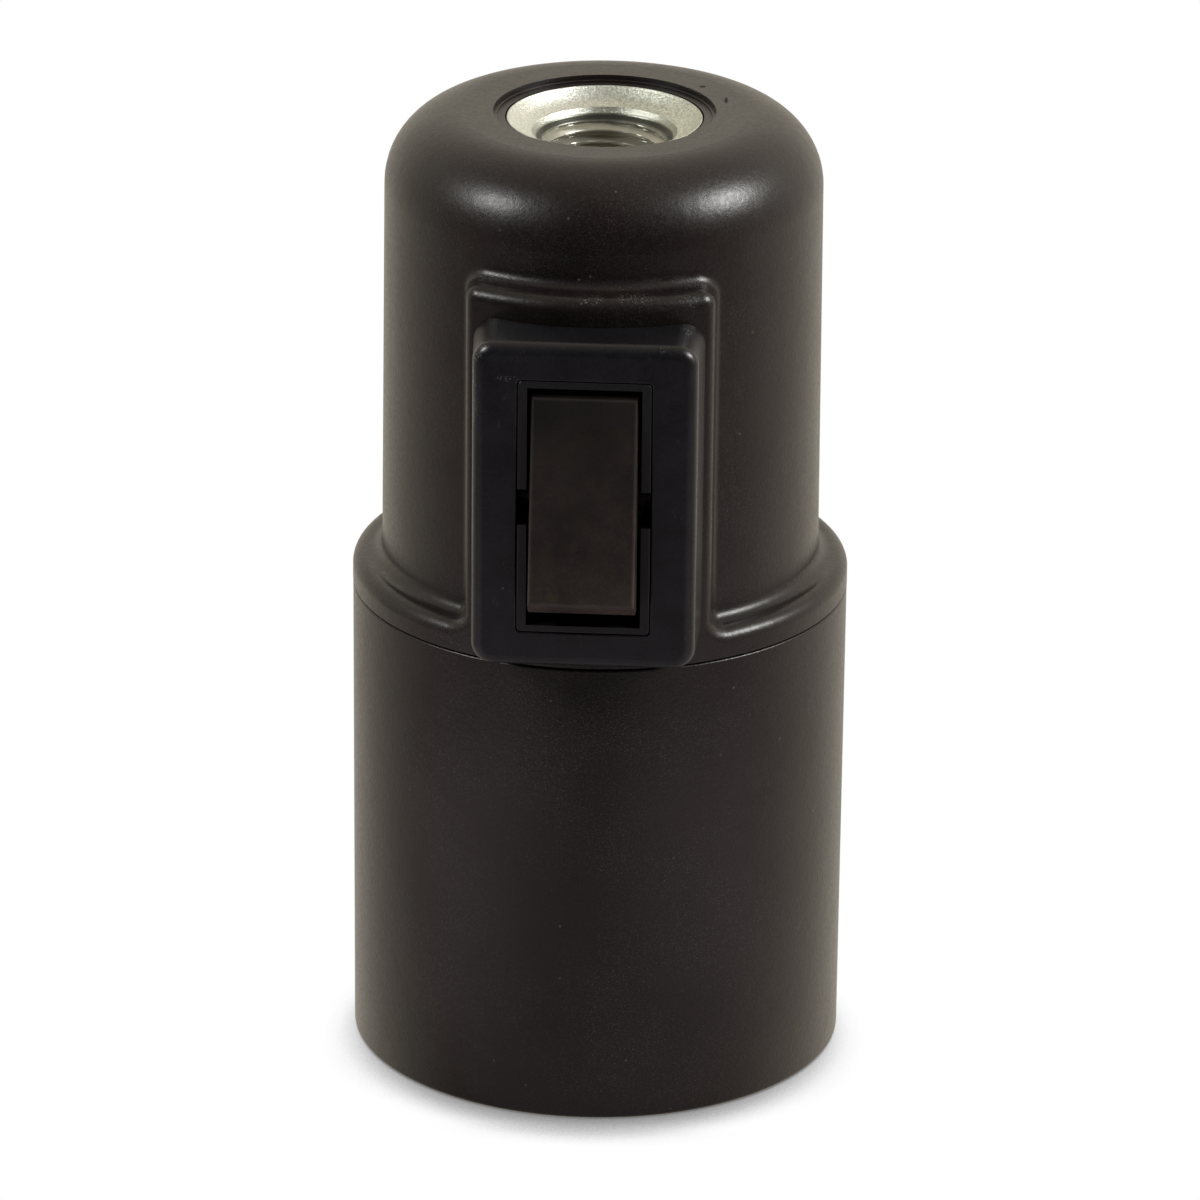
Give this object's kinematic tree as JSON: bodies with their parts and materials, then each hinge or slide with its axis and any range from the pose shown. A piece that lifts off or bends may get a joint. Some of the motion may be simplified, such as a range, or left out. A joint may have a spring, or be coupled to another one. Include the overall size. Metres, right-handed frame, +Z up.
{
  "type": "switched lamp holder",
  "caption": "Domed thermoset lamp holder with a rocker switch in its side, a threaded tube entry on top and a plain skirt round the screw shell.",
  "frame": {"origin": "centre of the skirt's mouth, level with its rim", "axes": "+Z up through the tube entry, -Y the side the switch faces"},
  "size_m": [0.0402, 0.0471, 0.0794],
  "materials": {
    "thermoset": "dark brown-black moulded thermoset, semi-matt, fine grain",
    "bezel_plastic": "bluish black moulded plastic, satin",
    "switch_plastic": "black moulded plastic, matt",
    "rocker_plastic": "warm black moulded plastic, finely textured",
    "cast_zinc": "bright cast zinc, lightly pitted",
    "plated_steel": "zinc-plated steel",
    "brass": "plain brass strip and bar",
    "shell_metal": "nickelled drawn brass",
    "steatite": "pale pressed steatite, matt"
  },
  "bodies": {
    "cap_unit": {"cap": "thermoset", "entry_bush": "cast_zinc", "bush_nut": "plated_steel", "tube_lock_screw": "plated_steel", "switch_bezel": "bezel_plastic", "switch_clip": "plated_steel", "switch_body": "switch_plastic", "supply_contact": "brass", "switch_terminal_screw": "plated_steel", "output_blade": "brass"},
    "rocker": {"rocker": "rocker_plastic", "plunger_spring": "plated_steel"},
    "plunger": {"plunger": "brass"},
    "contact_lever": {"contact_lever": "brass"},
    "core_unit": {"core": "steatite", "screw_shell": "shell_metal", "shell_terminal": "brass", "shell_rivets": "brass", "shell_terminal_screw": "plated_steel", "feed_strap": "brass", "strap_screws": "plated_steel", "contact_spring": "plated_steel"},
    "centre_contact": {"centre_contact": "brass"},
    "skirt": {"skirt": "thermoset"}
  },
  "joints": [
    {"name": "rocker_tilt", "type": "hinge", "parent": "cap_unit", "child": "rocker", "pos_m": [0, -0.0198, 0.0546], "axis": [1, 0, 0], "range_deg": [0, 22]},
    {"name": "plunger_press", "type": "slide", "parent": "rocker", "child": "plunger", "axis": [0, 0.9816, -0.1908], "range_m": [-0.0004, 0], "stiffness_N_per_m": 400, "springref_m": 0.001},
    {"name": "lever_swing", "type": "hinge", "parent": "cap_unit", "child": "contact_lever", "pos_m": [0, -0.01455, 0.0546], "axis": [1, 0, 0], "range_deg": [-9, 0]},
    {"name": "core_lift", "type": "slide", "parent": "cap_unit", "child": "core_unit", "axis": [0, 0, -1], "range_m": [0, 0.006]},
    {"name": "skirt_turn", "type": "hinge", "parent": "core_unit", "child": "skirt", "pos_m": [0, 0, 0], "axis": [0, 0, -1], "range_deg": [0, 720]},
    {"name": "contact_press", "type": "slide", "parent": "core_unit", "child": "centre_contact", "axis": [0, 0, 1], "range_m": [0, 0.0015], "stiffness_N_per_m": 1200, "springref_m": -0.001, "deforming": ["contact_spring"]}
  ],
  "couplings": [
    {"joint": "lever_swing", "follows": "rocker_tilt", "ratio": -0.40909},
    {"joint": "core_lift", "follows": "skirt_turn", "m_per_rad": 0.00047746}
  ]
}
